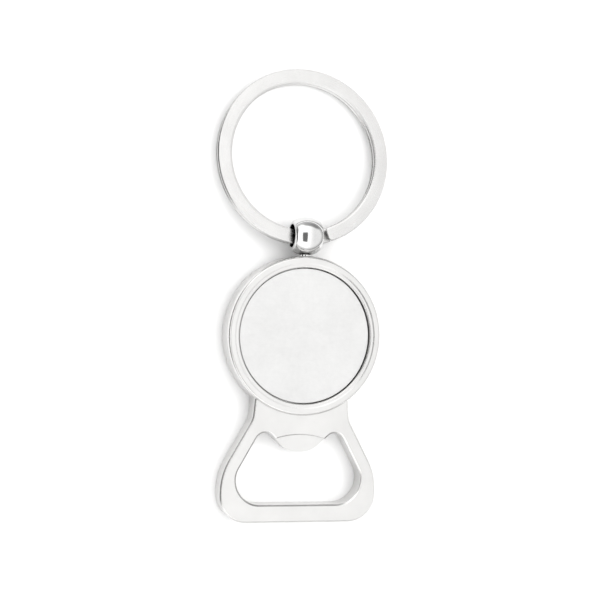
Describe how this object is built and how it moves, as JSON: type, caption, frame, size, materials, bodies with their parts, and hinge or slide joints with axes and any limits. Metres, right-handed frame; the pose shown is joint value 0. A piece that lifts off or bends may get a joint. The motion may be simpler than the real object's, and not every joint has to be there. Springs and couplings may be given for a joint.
{
  "type": "keychain bottle opener",
  "caption": "Nickel-plated keychain bottle opener: round bezel with a flat insert disc, flared cap-opener frame with a tooth, ball swivel and flat split ring.",
  "frame": {"origin": "centre of the round badge end, on the body's flat back face", "axes": "+X across the body, +Y from the opener end towards the split ring, +Z out of the badge's face; the body lies on its back"},
  "size_m": [0.0335, 0.0852, 0.008],
  "materials": {
    "satin_nickel": "satin nickel plating on a zinc die casting, slightly uneven, edges brighter",
    "badge_metal": "fine satin blank, no print",
    "adhesive": "translucent double-sided adhesive film",
    "polished_chrome": "polished plating with fine hairline scratches",
    "ring_nickel": "barrel-polished nickel plating on flat spring wire"
  },
  "bodies": {
    "opener": {"opener_body": "satin_nickel", "insert_disc": "badge_metal", "adhesive_pad": "adhesive"},
    "swivel": {"swivel_post": "polished_chrome"},
    "ring": {"split_ring": "ring_nickel"}
  },
  "joints": [
    {"name": "ball_swivel", "type": "hinge", "parent": "opener", "child": "swivel", "pos_m": [0, 0.01865, 0.0024], "axis": [0, 1, 0], "continuous": true},
    {"name": "ring_swing", "type": "hinge", "parent": "swivel", "child": "ring", "pos_m": [0, 0.01865, 0.0024], "axis": [1, 0, 0], "range_deg": [-145, 145]}
  ]
}
